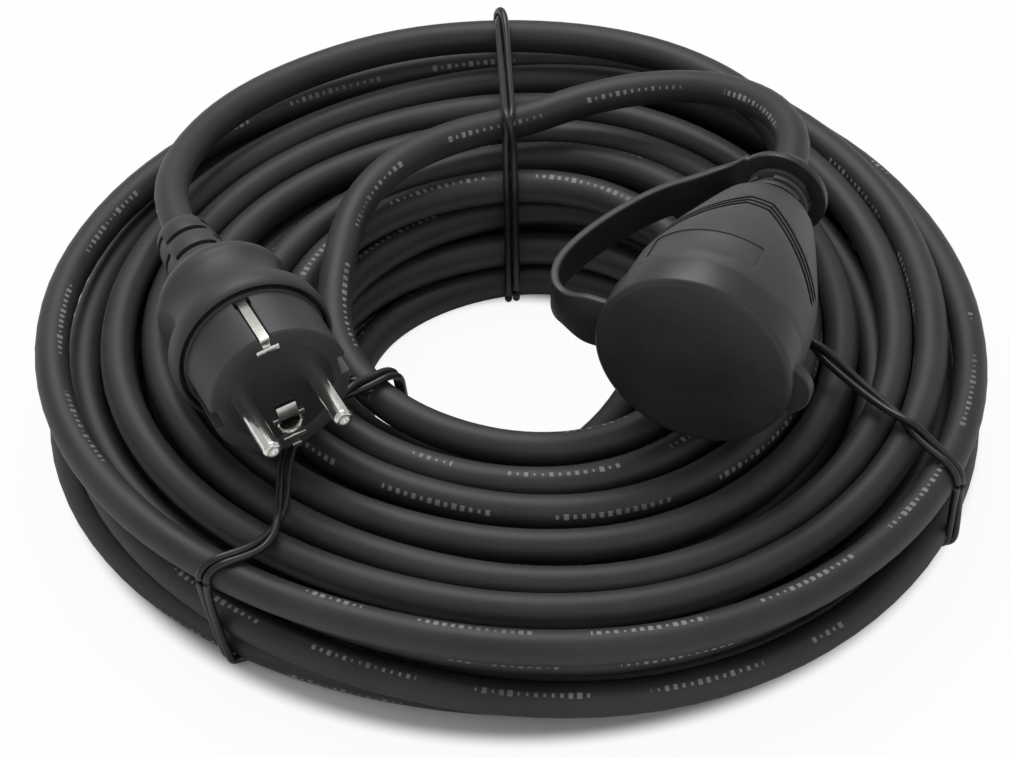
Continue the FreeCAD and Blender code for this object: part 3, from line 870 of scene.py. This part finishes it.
def moulded(name, dark, light, roughness, grain, depth, scuffs=0.0):
    """Moulded plastic or rubber: clouded colour, a fine grain, and faint scuffs in one direction."""
    finish = Finish(name, light, roughness)
    place = finish.coordinate()
    cloud = finish.noise(place, 55, 4)
    fine = finish.noise(place, grain, 3, 0.6)
    mottle = finish.noise(place, 420, 2)
    height = fine + mottle * 0.5
    shine = roughness + 0.14 * (cloud - 0.5) + 0.08 * (mottle - 0.5)
    if scuffs:
        stretched = finish.node("ShaderNodeMapping", Vector=place, Scale=(30, 900, 260)).outputs["Vector"]
        scratch = finish.noise(stretched, 1.0, 3).smooth(0.62, 0.72)
        shine = shine + scratch * scuffs
        height = height - scratch * 0.6
    return finish.use(
        base_color=finish.blend((cloud + mottle * 0.3).smooth(0.4, 0.85), dark, light),
        roughness=shine, normal=finish.bump(height, depth, 0.6),
    )


def plated(name, dark, light, roughness, stretch):
    """Plated or bare metal with fine drawn lines, a little cloudiness and small pits."""
    finish = Finish(name, light, roughness, metallic=1.0)
    place = finish.coordinate()
    drawn = finish.node("ShaderNodeMapping", Vector=place, Scale=stretch).outputs["Vector"]
    lines = finish.noise(drawn, 1.0, 3)
    cloud = finish.noise(place, 160, 3)
    pits = finish.specks(place, 900).smooth(0.0, 0.12)
    return finish.use(
        base_color=finish.blend((cloud * 0.7 + lines * 0.3).smooth(0.3, 0.7), dark, light),
        roughness=roughness + 0.12 * (lines - 0.5) + 0.05 * (cloud - 0.5),
        normal=finish.bump(lines * 0.5 + pits * 0.5, 0.000008, 0.5),
    )


def core_skin(name, dark, light):
    """The coloured skin of an inner core, a little clouded and with a fine grain."""
    finish = Finish(name, light, 0.42)
    place = finish.coordinate()
    cloud = finish.noise(place, 130, 3)
    fine = finish.noise(place, 1500, 2)
    return finish.use(base_color=finish.blend(cloud.smooth(0.3, 0.7), dark, light),
                      roughness=0.38 + 0.15 * cloud, normal=finish.bump(fine, 0.00001, 0.5))


# Each finish has its name, darker and lighter shade, roughness, and its grain or the stretch of its lines
tie_skin = moulded("tie_coating", (0.008, 0.008, 0.009), (0.016, 0.016, 0.018), 0.3, 1800, 0.000006)
plug_skin = moulded("plug_moulding", (0.027, 0.028, 0.030), (0.037, 0.038, 0.040), 0.52, 3200, 0.00004, 0.1)
face_skin = moulded("plug_face", (0.016, 0.0165, 0.018), (0.023, 0.0235, 0.025), 0.42, 3000, 0.00002, 0.08)
socket_skin = moulded("socket_rubber", (0.040, 0.043, 0.046), (0.053, 0.057, 0.061), 0.55, 2800, 0.00003,
                      0.06)
insert_skin = moulded("insert_plastic", (0.035, 0.036, 0.038), (0.048, 0.05, 0.052), 0.45, 2400, 0.00002)
cap_skin = moulded("cap_rubber", (0.018, 0.0185, 0.0195), (0.026, 0.0265, 0.028), 0.4, 2600, 0.00002, 0.07)
nickel = plated("bright_nickel", (0.72, 0.70, 0.66), (0.88, 0.87, 0.84), 0.16, (2600, 2600, 60))
strip_nickel = plated("strip_nickel", (0.66, 0.64, 0.60), (0.84, 0.82, 0.78), 0.22, (60, 2600, 2600))
brass = plated("plain_brass", (0.62, 0.44, 0.19), (0.80, 0.62, 0.32), 0.28, (60, 2600, 2600))
core_skins = {
    "live": core_skin("core_live", (0.16, 0.07, 0.03), (0.24, 0.11, 0.05)),
    "neutral": core_skin("core_neutral", (0.03, 0.12, 0.34), (0.05, 0.18, 0.46)),
    "earth": core_skin("core_earth", (0.16, 0.42, 0.04), (0.55, 0.62, 0.05)),
}

finishes = {
    "plug_bridge": face_skin, "plug_pin_left": nickel, "plug_pin_right": nickel,
    "plug_earth_strap": brass, "socket_earth_strap": brass,
    "socket_insert": insert_skin, "socket_carrier": insert_skin,
    "socket_contact_left": brass, "socket_contact_right": brass,
    "socket_earth_spring_upper": strip_nickel, "socket_earth_spring_lower": strip_nickel,
    "plug_body": plug_skin, "socket_body": socket_skin, "socket_cap": cap_skin,
}
for end in ("plug", "socket"):
    for core, skin in core_skins.items():
        finishes[f"{end}_wire_{core}"] = skin
        finishes[f"{end}_crimp_{core}"] = brass
for name, skin in finishes.items():
    wear(nodes[name], skin)
for piece, skin in (
    *((tie, tie_skin) for tie in ties.values()), (plug_shell, plug_skin), (clip_upper, strip_nickel),
    (clip_lower, strip_nickel), (earth_eye, strip_nickel), (socket_shell, socket_skin), (cap_cover, cap_skin),
    (tether, cap_skin),
):
    wear(piece, skin)

# Floor, lights and camera

bpy.ops.mesh.primitive_plane_add(size=8, location=(0, 0, -0.0002))
floor = bpy.context.object
floor.name = "floor"
paper = Finish("paper", (0.9, 0.9, 0.9), 0.9)
seen = Value(paper, paper.node("ShaderNodeLightPath").outputs["Is Camera Ray"])
# The floor glows white where it is seen, but not under the coil, where the shadow stays
floor_x, floor_y, _ = paper.axes(paper.coordinate())
from_middle = (floor_x * floor_x + floor_y * floor_y) ** 0.5
beside_coil = 1 - from_middle.smooth(0.040, 0.047) * (1 - from_middle.smooth(0.117, 0.124))
glow = paper.node("ShaderNodeEmission", Color=(1, 1, 1, 1), Strength=1.0)
glow_share = 0.94
mixed = paper.node("ShaderNodeMixShader", _0=seen * beside_coil * glow_share,
                   _1=paper.shader.outputs[0], _2=glow.outputs[0])
paper.tree.links.new(mixed.outputs[0], paper.tree.nodes["Material Output"].inputs["Surface"])
wear(floor, paper.material)

world = bpy.data.worlds.new("studio")
world.use_nodes = True
world.node_tree.nodes["Background"].inputs["Color"].default_value = (1, 1, 1, 1)
world.node_tree.nodes["Background"].inputs["Strength"].default_value = 0.5
bpy.context.scene.world = world


def soft_light(name, position, size, power):
    """A square area lamp that faces the middle of the coil."""
    lamp = bpy.data.lights.new(name, "AREA")
    lamp.size = size
    lamp.energy = power
    made = bpy.data.objects.new(name, lamp)
    made.location = position
    made.rotation_euler = (-Vector(position)).to_track_quat("-Z", "Y").to_euler()
    bpy.context.scene.collection.objects.link(made)


soft_light("top_light", (-0.2, 0.62, 1.25), 0.9, 11.5)
soft_light("front_light", (0.5, -1.2, 0.9), 0.8, 1.6)

# The camera stands where the photo was taken from
camera_distance = 1.1
camera_height = math.radians(43)
view = bpy.data.cameras.new("camera")
view.lens = 147.03
view.sensor_width = 36
view.shift_x = -0.01287
view.shift_y = 0.02624
view.clip_start = 0.05
camera = bpy.data.objects.new("camera", view)
camera.location = (0, -camera_distance * math.cos(camera_height), camera_distance * math.sin(camera_height))
camera.rotation_euler = (math.radians(47), 0, 0)
bpy.context.scene.collection.objects.link(camera)
bpy.context.scene.camera = camera
bpy.context.scene.view_settings.view_transform = "Standard"
